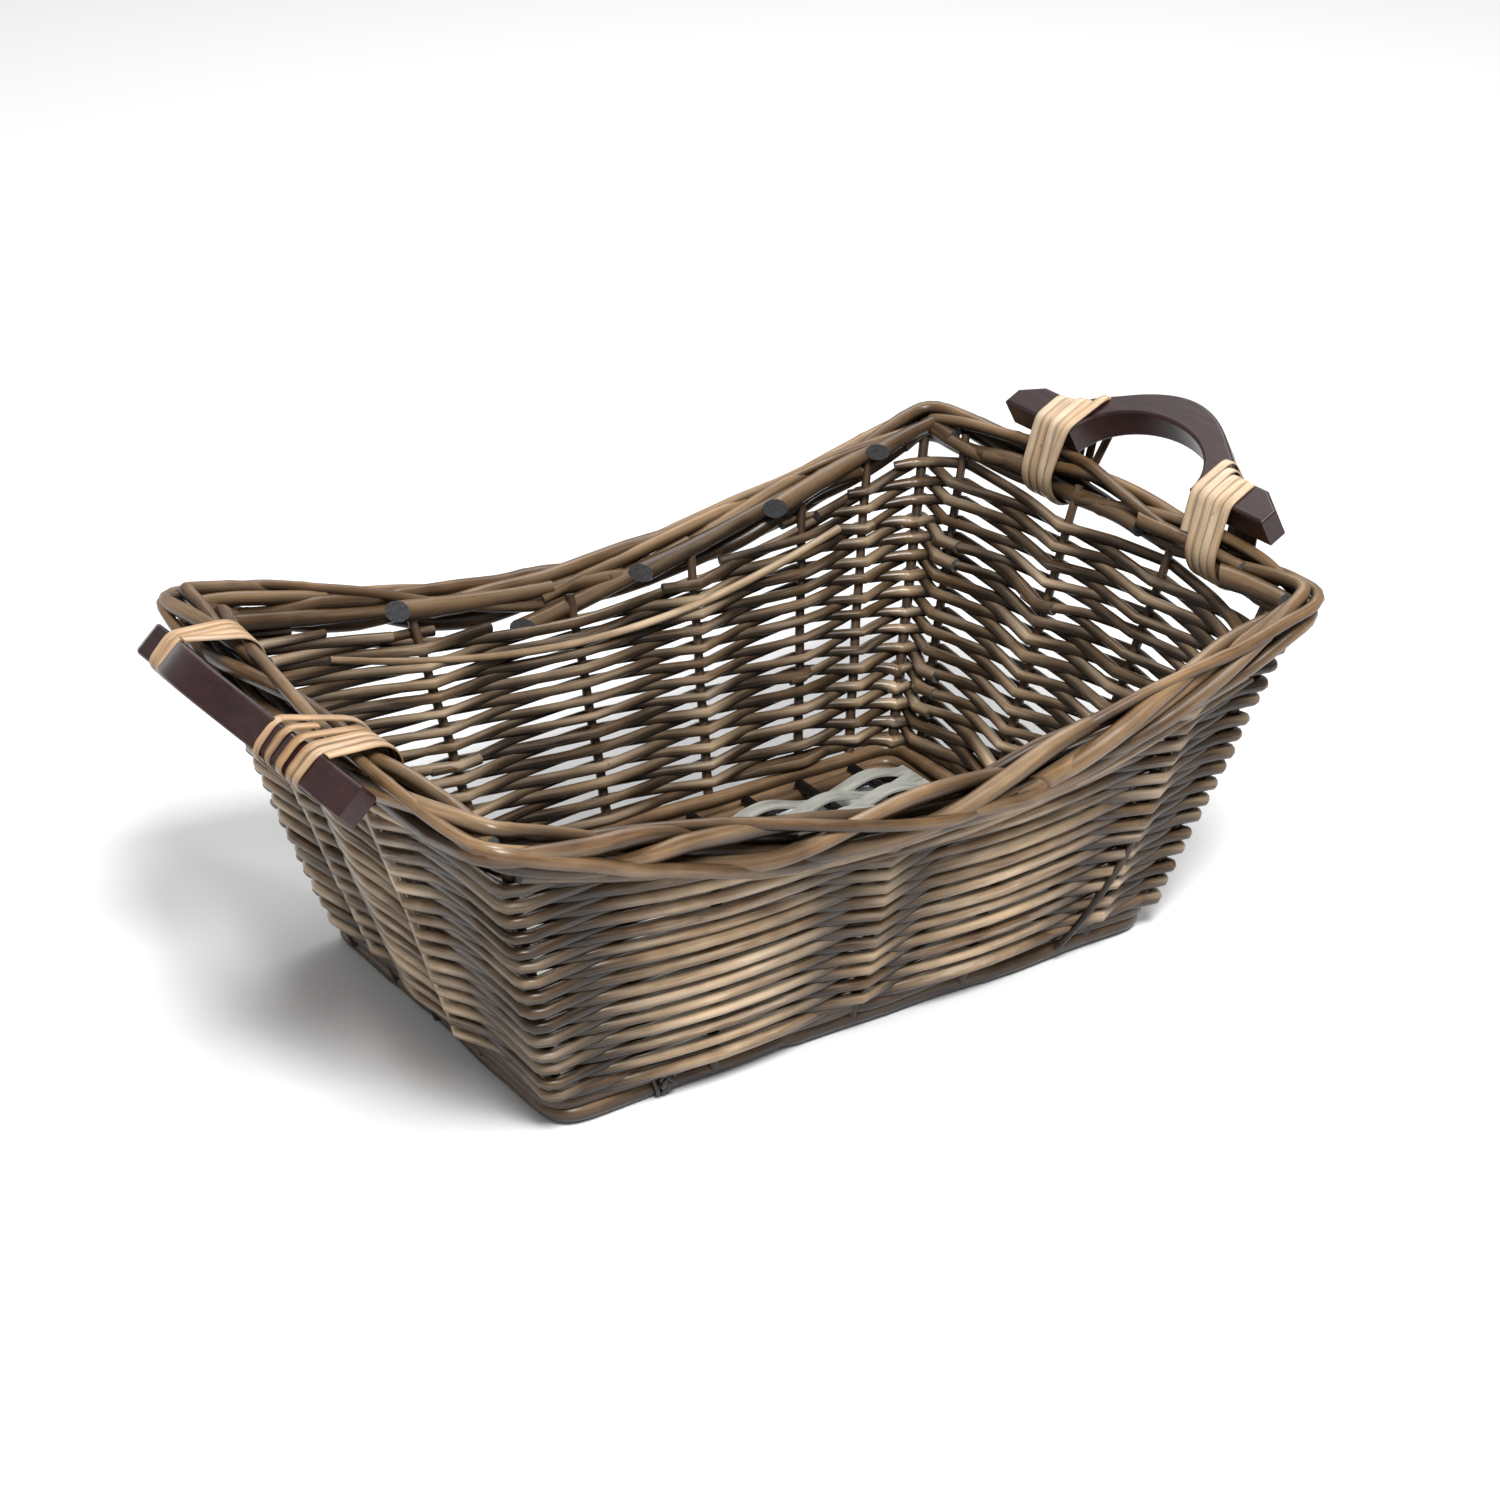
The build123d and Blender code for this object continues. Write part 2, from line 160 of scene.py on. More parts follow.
def painted_light_share(normal, away):
    """Painted light, 0 to 1: painted highlight most on upper faces and on the outside of a bundle, painted
    shade on undersides and towards the bundle's middle.
    """
    if away is None:
        return np.clip(.5 + .42 * normal[:, :, 2], 0, 1)
    away = np.asarray(away, float)
    reach = np.minimum(1, np.linalg.norm(away, axis=1))[:, None]
    outer = (normal * away[:, None]).sum(-1)
    return np.clip(.5 + .30 * outer + .27 * normal[:, :, 2] - .30 * (1 - reach), 0, 1)


class Rods:
    """Collects rods or bands into one mesh, with a coordinate along each for the material."""

    def __init__(self):
        self.co, self.faces, self.smooth, self.mat, self.sharp = [], [], [], [], []
        self.rodco, self.tone, self.lit = [], [], []
        self.count = 0

    def skin(self, ring, rodco, tone, lit, ends, flipped=False):
        """Joins rings of points into a closed skin. Returns the number of its first point."""
        n, sides = ring.shape[:2]
        base = self.count
        i = np.arange(n - 1)[:, None] * sides
        j = np.arange(sides)[None, :]
        k = (j + 1) % sides
        quads = base + np.stack([i + j, i + k, i + sides + k, i + sides + j], -1).reshape(-1, 4)
        first, last = base + np.arange(sides)[::-1], base + (n - 1) * sides + np.arange(sides)
        if flipped:
            quads, first, last = quads[:, [0, 3, 2, 1]], first[::-1], last[::-1]
        self.faces += quads.tolist() + [first.tolist(), last.tolist()]
        self.smooth += [True] * len(quads) + [False, False]
        self.mat += [0] * len(quads) + [ends, ends]
        self.co.append(ring.reshape(-1, 3))
        self.rodco.append(rodco.reshape(-1, 3))
        self.tone.append(np.full(n * sides, tone))
        self.lit.append(lit.ravel())
        self.count += n * sides
        return base

    def add(self, points, radii, sides, tone=None, lump=0.0, knots=0.0, away=None, cut=None, ends=1):
        """Adds a rod.

        lump makes it out of round and knots makes it swell in places. away points out of the bundle that it
        lies in and sets where the painted shade and highlight fall. cut slants the first end to face a
        direction. ends is the material number of both ends.
        """
        p = np.asarray(points, float)
        n = len(p)
        r = np.broadcast_to(np.asarray(radii, float), (n,))
        dist = lengths_along(p)
        if knots:
            r = swollen(r, dist, knots)
        tangent = unit(np.gradient(p, axis=0))
        u, v = carried_across(tangent)
        angle = np.arange(sides) * FULL_TURN / sides + rng.uniform(0, 6)
        c, s = np.cos(angle), np.sin(angle)
        normal = u[:, None] * c[None, :, None] + v[:, None] * s[None, :, None]
        wobble = 1 + lump * np.sin(angle[None, :] * 2 + dist[:, None] * .05 + rng.uniform(0, 6))
        ring = p[:, None] + (r[:, None] * wobble)[:, :, None] * normal
        if cut is not None:
            for i, share in enumerate(CUT_SLANT):
                ring[i] += tangent[i] * (normal[i] @ np.asarray(cut, float) * r[i] * share)[:, None]
        rodco = np.zeros((n, sides, 3))
        rodco[:, :, 0] = c * r.mean() + rng.uniform(0, 900)
        rodco[:, :, 1] = s * r.mean()
        rodco[:, :, 2] = dist[:, None]
        tone = rng.uniform(0, 1) if tone is None else tone
        base = self.skin(ring, rodco, tone, painted_light_share(normal, away), ends)
        for start in (base, base + (n - 1) * sides):
            self.sharp += [(start + q, start + (q + 1) % sides) for q in range(sides)]

    def add_band(self, points, normals, width, thick, tone):
        """Adds a flat strip with a slightly domed face."""
        p = np.asarray(points, float)
        normal = np.asarray(normals, float)
        across = unit(np.cross(unit(np.gradient(p, axis=0)), normal))
        n, sides = len(p), len(BAND_SECTION)
        ring = np.stack([p + across * (a * width) + normal * (b * thick) for a, b in BAND_SECTION], 1)
        rodco = np.zeros((n, sides, 3))
        rodco[:, :, 0] = np.array([a * width for a, _ in BAND_SECTION]) + rng.uniform(0, 900)
        rodco[:, :, 1] = np.array([b for _, b in BAND_SECTION])
        rodco[:, :, 2] = lengths_along(p)[:, None]
        lit = .58 + .16 * normal[:, 2][:, None] + np.array(BAND_LIGHT)
        base = self.skin(ring, rodco, tone, lit, 0, flipped=True)
        self.sharp += [(base + i * sides + j, base + (i + 1) * sides + j)
                       for i in range(n - 1) for j in BAND_EDGES]

    def make(self, name, materials, nodes):
        """Makes the mesh object, which stands for the named CAD nodes."""
        mesh = bpy.data.meshes.new(name)
        mesh.from_pydata(((np.concatenate(self.co) + SHIFT) * MM).tolist(), [], self.faces)
        mesh.polygons.foreach_set("use_smooth", self.smooth)
        mesh.polygons.foreach_set("material_index", self.mat)
        for label, kind, field, values in (("rodco", "FLOAT_VECTOR", "vector", self.rodco),
                                           ("tone", "FLOAT", "value", self.tone),
                                           ("lit", "FLOAT", "value", self.lit)):
            attribute = mesh.attributes.new(label, kind, "POINT")
            attribute.data.foreach_set(field, np.concatenate(values).astype(np.float32).ravel())
        pairs = np.zeros(len(mesh.edges) * 2, int)
        mesh.edges.foreach_get("vertices", pairs)
        sharp = {tuple(sorted(e)) for e in self.sharp}
        flags = [tuple(sorted(e)) in sharp for e in pairs.reshape(-1, 2).tolist()]
        mesh.attributes.new("sharp_edge", "BOOLEAN", "EDGE").data.foreach_set("value", flags)
        for material in materials:
            mesh.materials.append(material)
        obj = bpy.data.objects.new(name, mesh)
        bpy.context.scene.collection.objects.link(obj)
        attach(obj, "root")
        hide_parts(*nodes)


# ---------------------------------------------------------------- material nodes
def node_material(name):
    material = bpy.data.materials.new(name)
    material.use_nodes = True
    tree = material.node_tree
    tree.nodes.clear()
    out = tree.nodes.new("ShaderNodeOutputMaterial")
    shader = tree.nodes.new("ShaderNodeBsdfPrincipled")
    tree.links.new(shader.outputs[0], out.inputs[0])
    return material, tree, shader


def attribute_node(tree, name):
    node = tree.nodes.new("ShaderNodeAttribute")
    node.attribute_name = name
    return node


def noise(tree, vector, scale, detail, rough, stretch):
    mapping = tree.nodes.new("ShaderNodeMapping")
    mapping.inputs["Scale"].default_value = stretch
    tree.links.new(vector, mapping.inputs["Vector"])
    node = tree.nodes.new("ShaderNodeTexNoise")
    node.inputs["Scale"].default_value = scale
    node.inputs["Detail"].default_value = detail
    node.inputs["Roughness"].default_value = rough
    tree.links.new(mapping.outputs[0], node.inputs["Vector"])
    return node.outputs["Fac"]


def ramp(tree, factor, stops):
    node = tree.nodes.new("ShaderNodeValToRGB")
    elements = node.color_ramp.elements
    while len(elements) < len(stops):
        elements.new(.5)
    for element, (position, colour) in zip(elements, stops):
        element.position = position
        element.color = (*colour, 1)
    tree.links.new(factor, node.inputs[0])
    return node.outputs[0]


def mix(tree, kind, factor, a, b):
    """Mixes two colours, each of them a socket or a plain colour. The factor is a socket or a number."""
    node = tree.nodes.new("ShaderNodeMix")
    node.data_type = "RGBA"
    node.blend_type = kind
    for socket, value in ((node.inputs[0], factor), (node.inputs[6], a), (node.inputs[7], b)):
        if isinstance(value, (int, float)):
            socket.default_value = value
        elif isinstance(value, tuple):
            socket.default_value = (*value, 1)
        else:
            tree.links.new(value, socket)
    return node.outputs[2]


def calculate(tree, operation, a, b, c=None):
    """Combines a socket with a number and, for a multiply and add, with one more socket."""
    node = tree.nodes.new("ShaderNodeMath")
    node.operation = operation
    tree.links.new(a, node.inputs[0])
    node.inputs[1].default_value = b
    if c is not None:
        tree.links.new(c, node.inputs[2])
    return node.outputs[0]


def bump(tree, shader, height, strength):
    node = tree.nodes.new("ShaderNodeBump")
    node.inputs["Strength"].default_value = strength
    node.inputs["Distance"].default_value = .0004
    tree.links.new(height, node.inputs["Height"])
    tree.links.new(node.outputs[0], shader.inputs["Normal"])


# ---------------------------------------------------------------- materials
TONE_SPREAD = .46
GRAIN_RAMP = [(.30, (.52, .50, .48)), (.5, (.95, .95, .95)), (.72, (1.25, 1.22, 1.18))]
WASH_RAMP = [(.46, (0, 0, 0)), (.70, (1, 1, 1))]
SPOT_RAMP = [(.74, (1, 1, 1)), (.80, (.25, .18, .14))]
# painted shade in hollows and undersides and painted highlight on upper and outer faces, read from the lit
# attribute
PAINTED_LIGHT_RAMP = [(.12, (.05, .035, .025)), (.36, (.29, .25, .21)), (.60, (.98, .93, .86)),
            (.88, (1.95, 1.88, 1.78))]


def rod_material(name, dark, mid, light, wash, rough, wash_amount):
    """Stained wood with grain along the rod, a pale wash in streaks, dark spots, and painted shade and
    highlight from the lit attribute.
    """
    material, tree, shader = node_material(name)
    place = attribute_node(tree, "rodco").outputs["Vector"]
    tone = attribute_node(tree, "tone").outputs["Fac"]
    grain = noise(tree, place, .60, 5, .6, (1, 1, .045))
    blotches = noise(tree, place, .022, 3, .6, (.6, .6, 1))
    shade = calculate(tree, "MULTIPLY_ADD", tone, TONE_SPREAD, blotches)
    colour = ramp(tree, shade, [(.38, dark), (.66, mid), (.98, light)])
    colour = mix(tree, "MULTIPLY", .8, colour, ramp(tree, grain, GRAIN_RAMP))
    streaks = ramp(tree, noise(tree, place, .20, 4, .65, (1, 1, .07)), WASH_RAMP)
    colour = mix(tree, "MIX", calculate(tree, "MULTIPLY", streaks, wash_amount), colour, wash)
    spots = ramp(tree, noise(tree, place, .38, 2, .5, (1, 1, .5)), SPOT_RAMP)
    colour = mix(tree, "MULTIPLY", .85, colour, spots)
    # painted shade in the hollows and undersides and painted highlight on the upper and outer faces, from the
    # lit attribute
    painted_light = ramp(tree, attribute_node(tree, "lit").outputs["Fac"], PAINTED_LIGHT_RAMP)
    colour = mix(tree, "MULTIPLY", 1.0, colour, painted_light)
    tree.links.new(colour, shader.inputs["Base Color"])
    shader.inputs["Roughness"].default_value = rough
    shader.inputs["Specular IOR Level"].default_value = .42
    shader.inputs["Coat Weight"].default_value = .06
    shader.inputs["Coat Roughness"].default_value = .15
    bump(tree, shader, grain, .35)
    return material


def plain_material(name, colour, rough, spread, scale, stretch=(1, 1, 1)):
    """One colour that varies a little with a noise in the object's own space, stretched along its grain."""
    material, tree, shader = node_material(name)
    place = tree.nodes.new("ShaderNodeTexCoord").outputs["Object"]
    grain = noise(tree, place, scale, 5, .6, stretch)
    darker = tuple(c * (1 - spread) for c in colour)
    lighter = tuple(min(1, c * (1 + spread)) for c in colour)
    tree.links.new(ramp(tree, grain, [(.3, darker), (.7, lighter)]), shader.inputs["Base Color"])
    shader.inputs["Roughness"].default_value = rough
    bump(tree, shader, grain, .2)
    return material


M_WEAVE = rod_material("willow_weave", dark=(.036, .019, .009), mid=(.130, .083, .046),
                       light=(.30, .225, .150), wash=(.46, .39, .31), rough=.30, wash_amount=.60)
M_BORDER = rod_material("willow_border", dark=(.026, .013, .006), mid=(.072, .040, .018),
                        light=(.150, .095, .050), wash=(.22, .175, .12), rough=.32, wash_amount=.35)
M_STAKE = rod_material("willow_stake", dark=(.020, .011, .007), mid=(.055, .031, .018), light=(.11, .07, .04),
                       wash=(.12, .09, .06), rough=.45, wash_amount=.2)
M_FOOT = rod_material("willow_foot", dark=(.020, .010, .005), mid=(.060, .035, .018), light=(.14, .09, .05),
                      wash=(.20, .15, .10), rough=.34, wash_amount=.3)
M_CUT = plain_material("cut_end", (.060, .062, .068), rough=.7, spread=.6, scale=900)
M_STRIP = plain_material("floor_strip", (.36, .36, .32), rough=.5, spread=.3, scale=160, stretch=(.12, 1, 1))
M_HANDLE = plain_material("handle_wood", (.025, .0068, .0070), rough=.38, spread=.45, scale=260,
                          stretch=(1, .12, 1))
M_CANE = rod_material("cane", dark=(.20, .11, .05), mid=(.37, .245, .14), light=(.50, .40, .29),
                      wash=(.52, .45, .36), rough=.36, wash_amount=.4)
M_TIE = plain_material("tie_wire", (.02, .016, .014), rough=.45, spread=.4, scale=900)

# ---------------------------------------------------------------- stakes and corner posts
# distance of each stake along its side, from the side's middle, at half height
STAKES = {"front": (-100, -10, 62, 149), "right": (-109, -40, 25, 103),
          "back": (-160, -123, -58, 11, 95), "left": (-100, -50, 0, 50)}
SHARP_STAKES = {("front", 1), ("front", 3), ("right", 0), ("right", 2), ("back", 0), ("back", 2), ("back", 4),
                ("left", 1), ("left", 3)}   # where rods bend sharply instead of floating round
SHARP_BIAS, ROUND_BIAS = .5, 1.8            # how far the two kinds of stake stand out from the wall's middle
STAKE_R, POST_R = 2.5, 2.8
STAKE_LOW, POST_LOW = 6.0, 11.0
POST_INSET = 4.0                            # posts stand inside the wall's corner, and rods turn outside them
STAKE_POINTS = 26

Anchor = namedtuple("Anchor", "kind side number share sharp")


def stake_share(side, number):
    """A stake's place as a share of its side's half length."""
    return STAKES[side][number] / halves(side, TOP / 2)[0]


def list_anchors():
    """Every post and stake in order round the basket, each side starting with its post."""
    anchors = []
    for side in SIDES:
        anchors.append(Anchor("post", side, None, None, True))
        for number in range(len(STAKES[side])):
            sharp = (side, number) in SHARP_STAKES
            anchors.append(Anchor("stake", side, number, stake_share(side, number), sharp))
    return anchors


ANCHORS = list_anchors()
COUNT = len(ANCHORS)


def anchor_at(k, side, z):
    """Distance along the given side of anchor k at height z."""
    anchor = ANCHORS[k % COUNT]
    half = halves(side, z)[0]
    if anchor.kind == "post":
        return -half if anchor.side == side else half
    return anchor.share * half


def bias_of(anchor):
    return SHARP_BIAS if anchor.sharp else ROUND_BIAS


def stake_rods():
    for side in SIDES:
        rods = Rods()
        for anchor in (a for a in ANCHORS if a.side == side and a.kind == "stake"):
            lean = rng.normal(0, 1.2)
            tip = RIM_MIDDLE - scoop_drop(side, anchor.share * RIM_X)
            points = []
            for z in np.linspace(STAKE_LOW, tip, STAKE_POINTS):
                wander = .25 * math.sin(z * .13 + STAKES[side][anchor.number])
                along = anchor.share * halves(side, z)[0] + lean * math.sin(z / TOP * 3.1) + wander
                points.append(wall(side, along, z, bias_of(anchor)))
            radii = np.linspace(STAKE_R * 1.08, STAKE_R * .92, STAKE_POINTS)
            rods.add(points, radii, sides=10, knots=.12)
        rods.make(f"stake_rods_{side}", [M_STAKE, M_CUT], [f"stakes_{side}"])
    for side, corner in zip(SIDES, ("front_left", "front_right", "back_right", "back_left")):
        rods = Rods()
        points = [wall(side, POST_INSET - halves(side, z)[0], z, -POST_INSET)
                  for z in np.linspace(POST_LOW, RIM_MIDDLE, STAKE_POINTS)]
        radii = np.linspace(POST_R * 1.05, POST_R * .95, STAKE_POINTS)
        rods.add(points, radii, sides=12, knots=.1)
        rods.make(f"corner_post_{corner}", [M_STAKE, M_CUT], [f"post_{corner}"])


# ---------------------------------------------------------------- the weave
ROWS = 31
WEAVE_LOW = 17.0
ROW_PITCH = (BORDER_LOW - 1.5 - WEAVE_LOW) / ROWS
ROW_SCOOP = 19.0                            # how far the top row dips in the middle of a long side
DIP = {"front": 5.5, "right": 2.0, "back": 1.0, "left": 2.5}         # how far rows dip at the sharp stakes
DIP_REACH = 30.0
EDGE_STAKE = ("left", 3)                    # the last one before the front left corner: the rods make an edge
EDGE_DIP, EDGE_OUT = 9.0, 4.0
FRONT_CORNER_DIP = 4.0
CORNER_SIGN = {"front": 0, "right": -1, "back": 0, "left": 1}        # end of each side that meets the front
# slope of a rod's change of sides at sharp and at round stakes
BEND = {"front": (2.2, .2), "right": (1.1, .9), "back": (1.3, .5), "left": (1.6, .4)}
ZIGZAG = {"front": .5, "right": 1.3, "back": .6, "left": .8}         # rise where a rod passes outside a stake
THICKER = {"front": 1.13, "right": 1.14, "back": .97, "left": 1.05}  # thickness of the rods by side
POST_OUT, POST_IN = 3.4, 2.4                # how far rods pass outside and inside the corner posts
CORNER_CUT = 4.5                            # how much of the corner is cut off where rods turn it
WEAVE_DEPTH = 6.5                           # about how far from the wall the middle of a rod swings
STEPS = 15                                  # points between one stake and the next
ROD_SPAN = (19, 25)                         # about how many stakes one rod passes
ROD_LAP = .16                               # how far a rod runs on past its last stake, as a share of the gap
ROD_BUTT, ROD_TIP = (2.8, 3.25), (2.2, 2.6)
JITTER, JITTER_STEPS = .45, 64              # uneven height of a rod from stake to stake
THICKNESS_BLEND = 12                        # smoothing passes where the thickness changes round a corner
SHORTEST = 5                                # points in a piece of rod too short to show
TUCK, TUCK_POINTS = 3.0, 8                  # a rod's ends lie a little further inside
CLEAR_OF_BORDER = 3.5


def row_height(side, along_share, row):
    """Height of the spiral at a place on a side. Upper rows on the long sides follow the scoop a little."""
    z = WEAVE_LOW + ROW_PITCH * row
    up = (z - WEAVE_LOW) / (BORDER_LOW - WEAVE_LOW)
    if side in LONG:
        z -= ROW_SCOOP * up ** 2 * math.cos(math.pi / 2 * min(1, abs(along_share)))
    half = halves(side, TOP / 2)[0]
    strength = min(1.0, .35 + up)
    for number, place in enumerate(STAKES[side]):
        if (side, number) in SHARP_STAKES:
            dip = EDGE_DIP if (side, number) == EDGE_STAKE else DIP[side]
            z -= dip * max(0.0, 1 - abs(along_share * half - place) / DIP_REACH) * strength
    if side == "front" or along_share * CORNER_SIGN[side] > 0:
        gap = half * (1 - abs(along_share))
        z -= FRONT_CORNER_DIP * max(0.0, 1 - gap / DIP_REACH) * strength
    return z


def pass_offset(anchor, sign, radius):
    """How far out a weaver's middle is at an anchor, for a sign of 1 outside it and -1 inside it."""
    if anchor.kind == "post":
        return POST_OUT if sign > 0 else -POST_INSET - POST_IN
    offset = bias_of(anchor) + sign * (STAKE_R + radius * .9)
    return offset + EDGE_OUT if (anchor.side, anchor.number) == EDGE_STAKE else offset


def weave_points(start, end, radius, jitter):
    """Points of one weaver between two places counted in stakes, and the side and depth of each."""
    points, info = [], []
    for k in range(math.floor(start), math.ceil(end)):
        t0, t1 = max(start, k) - k, min(end, k + 1) - k
        here, there = ANCHORS[k % COUNT], ANCHORS[(k + 1) % COUNT]
        side = here.side
        sign = 1 if k % 2 else -1
        from_out, to_out = pass_offset(here, sign, radius), pass_offset(there, -sign, radius)
        slope_here, slope_there = BEND[side][not here.sharp], BEND[side][not there.sharp]
        steps = max(2, int(STEPS * (t1 - t0)) + 1)
        for t in np.linspace(t0, t1, steps)[(1 if points else 0):]:
            row = (k + t) / COUNT
            z_guess = row_height(side, 0.5, row)
            from_along, to_along = anchor_at(k, side, z_guess), anchor_at(k + 1, side, z_guess)
            along = from_along + (to_along - from_along) * t
            z = row_height(side, along / halves(side, z_guess)[0], row)
            z += jitter[k % JITTER_STEPS] * (1 - t) + jitter[(k + 1) % JITTER_STEPS] * t
            # a smooth change from one offset to the next, with a slope of its own at each stake
            blend = (slope_here * (t ** 3 - 2 * t * t + t) + (3 * t * t - 2 * t ** 3)
                     + slope_there * (t ** 3 - t * t))
            offset = from_out + (to_out - from_out) * blend
            z += ZIGZAG[side] * sign * (1 - 2 * blend)
            if here.kind == "post":
                along -= from_out * (1 - t) ** 2
            if there.kind == "post":
                along += to_out * t ** 2
            points.append(cut_corner(np.array(wall(side, along, z, offset)), sum(halves(side, z))))
            info.append((side, along, z, offset / WEAVE_DEPTH))
    return np.array(points), info


def cut_corner(point, corner):
    """Brings a point near a corner in to a short chamfer. corner is the two half lengths added."""
    over = abs(point[0]) + abs(point[1]) - (corner + 2 * POST_OUT - CORNER_CUT)
    if over > 0:
        point[:2] -= np.sign(point[:2]) * over / 2
    return point


def push_in(points, amount):
    """Moves points towards the basket's middle, seen from above, and down a little."""
    flat = points[:, :2]
    reach = np.abs(flat) / (np.abs(flat).max(axis=1)[:, None] + 1e-9)
    inward = (reach > .99) * np.sign(flat)
    out = points.copy()
    out[:, :2] -= inward * amount[:, None] * .7
    out[:, 2] -= amount * .5
    return out


def kept_runs(keep):
    """First and last index of each run of true values."""
    edges = np.flatnonzero(np.diff(np.concatenate([[0], np.asarray(keep, int), [0]])))
    return edges.reshape(-1, 2).tolist()


def add_weaver(rods, start, end, last):
    """One rod of the weave, left out where it would run through the scooped border."""
    butt, tip = rng.uniform(*ROD_BUTT), rng.uniform(*ROD_TIP)
    jitter = rng.normal(0, JITTER, JITTER_STEPS)
    lead, lag = (-ROD_LAP if start > 0 else 0), (ROD_LAP if end < last else 0)
    points, info = weave_points(start + lead, end + lag, (butt + tip) / 2, jitter)
    n = len(points)
    thicker = smooth([[THICKER[side], 0] for side, _, _, _ in info], THICKNESS_BLEND)[:, 0]
    radii = np.linspace(butt, tip, n) * thicker
    tone = rng.uniform(0, 1)
    keep = [side not in LONG or z < BORDER_LOW - scoop_drop(side, along) + CLEAR_OF_BORDER
            for side, along, z, _ in info]
    # the outward direction, scaled by how far the rod stands from the wall's middle, sets the painted shade:
    # darkest near the wall's middle
    away = np.array([(*(np.array(OUT[side]) * max(-1, min(1, depth))), 0) for side, _, _, depth in info])
    for i, j in kept_runs(keep):
        if j - i <= SHORTEST:
            continue
        part = points[i:j]
        tuck = (1 - np.clip(np.arange(j - i) / TUCK_POINTS, 0, 1)) * TUCK
        if i == 0:
            part = push_in(part, tuck)
        if j == n:
            part = push_in(part, tuck[::-1])
        rods.add(part, radii[i:j], tone=tone, sides=10, knots=.07, lump=.03, away=away[i:j])


# loose rods packed in under the rim or across the weave: side, (along, height, outward) marks, radius
UNDER = BORDER_LOW - 2.5
PACKING = (
    ("front", ((-205, UNDER, 3), (-120, UNDER, 5), (0, UNDER, 4), (110, UNDER, 5), (200, UNDER, 3)), 2.9),
    ("front", ((-150, UNDER - 6, 2), (-60, UNDER - 6, 6), (60, UNDER - 6, 5), (190, UNDER - 6, 4)), 2.6),
    ("front", ((-60, UNDER - 11, 2), (40, UNDER - 12, 6), (120, UNDER - 12, 6), (196, UNDER - 12, 2)), 2.5),
    ("back", ((-200, UNDER, 2), (-90, UNDER, 4), (30, UNDER, 3), (140, UNDER, 4), (200, UNDER, 2)), 2.7),
    ("back", ((-150, UNDER - 6, -4), (-50, UNDER - 6, -6), (60, UNDER - 6, -5), (150, UNDER - 6, -4)), 2.4),
    ("left", ((8, UNDER, 2), (34, UNDER - 1, 6), (56, UNDER - 4, 8), (100, UNDER, 5), (128, UNDER, 3)), 2.6),
    ("front", ((110, 8, 4.5), (121, 24, 6.5), (131, 42, 7), (139, 58, 6.5), (147, 76, 3)), 1.8))
SCOOPED_FROM = BORDER_LOW - 30              # packed rods above this height follow the scoop
STRAY_R = 2.0                               # a packed rod thinner than this is a dark stray one, given the darkest tone and painted in full shade


def add_packed(rods, side, marks, radius):
    marks = np.array(marks, float)
    t = np.linspace(0, len(marks) - 1, 14 * (len(marks) - 1))
    along, z, offset = (np.interp(t, np.arange(len(marks)), marks[:, i]) for i in range(3))
    line = []
    for a, h, o in zip(along, z, offset):
        drop = scoop_drop(side, a) if h > SCOOPED_FROM else 0
        line.append(wall(side, a, h - drop, o))
    # the outward direction, scaled by how far the rod stands from the wall's middle, sets the painted shade;
    # a stray rod gets none and is painted in full shade
    away = np.array([(*OUT[side], 0)] * len(t)) * np.clip(offset / WEAVE_DEPTH, -1, 1)[:, None]
    stray = radius < STRAY_R
    rods.add(smooth(line, 6), np.linspace(radius, radius * .8, len(t)), sides=10, knots=.1, lump=.03,
             away=away * (not stray), tone=0.0 if stray else None)


def weave():
    """One spiral of rods end to end. Stakes and posts together are odd, so it changes sides each round."""
    rods = Rods()
    last = ROWS * COUNT
    start = 0
    while start < last - 2:
        end = min(last, start + int(rng.integers(*ROD_SPAN)))
        end = min(last, end + end % 2)      # rods are joined where they pass inside a stake
        add_weaver(rods, start, end, last)
        start = end
    for side, marks, radius in PACKING:
        add_packed(rods, side, marks, radius)
    rods.make("weave_rods", [M_WEAVE, M_CUT], [f"weave_{side}" for side in SIDES])


# ---------------------------------------------------------------- closed loops round the rim and the foot
SPACING = 4.0                               # distance between the points of a rod along the rim or the foot


def rim_loop():
    """Middle line of the border, which dips along the long sides."""
    points = []
    for side in SIDES:
        half = halves(side, TOP)[0]
        n = int(2 * half / SPACING)
        for i in range(n):
            along = -half + 2 * half * i / n
            x, y, _ = wall(side, along, TOP)
            points.append((x, y, RIM_MIDDLE - scoop_drop(side, along)))
    return smooth_loop(np.array(points), 3)


def foot_loop(height, inset, soften):
    points = []
    for side in SIDES:
        half, dist = halves(side, height)
        reach = half - inset
        n = int(2 * reach / SPACING)
        points += [on_side(side, -reach + 2 * reach * i / n, dist - inset, height) for i in range(n)]
    return smooth_loop(np.array(points), soften)


class Track:
    """A closed loop that can be read by distance, with an outward direction."""

    def __init__(self, points):
        self.points = np.vstack([points, points[:1]])
        self.dist = lengths_along(self.points)
        self.length = self.dist[-1]

    def place(self, s):
        return np.stack([np.interp(s % self.length, self.dist, self.points[:, i]) for i in range(3)], -1)

    def at(self, s):
        p = self.place(s)
        t = self.place(s + 3) - p
        return p, unit(np.stack([t[..., 1], -t[..., 0], 0 * t[..., 0]], -1))


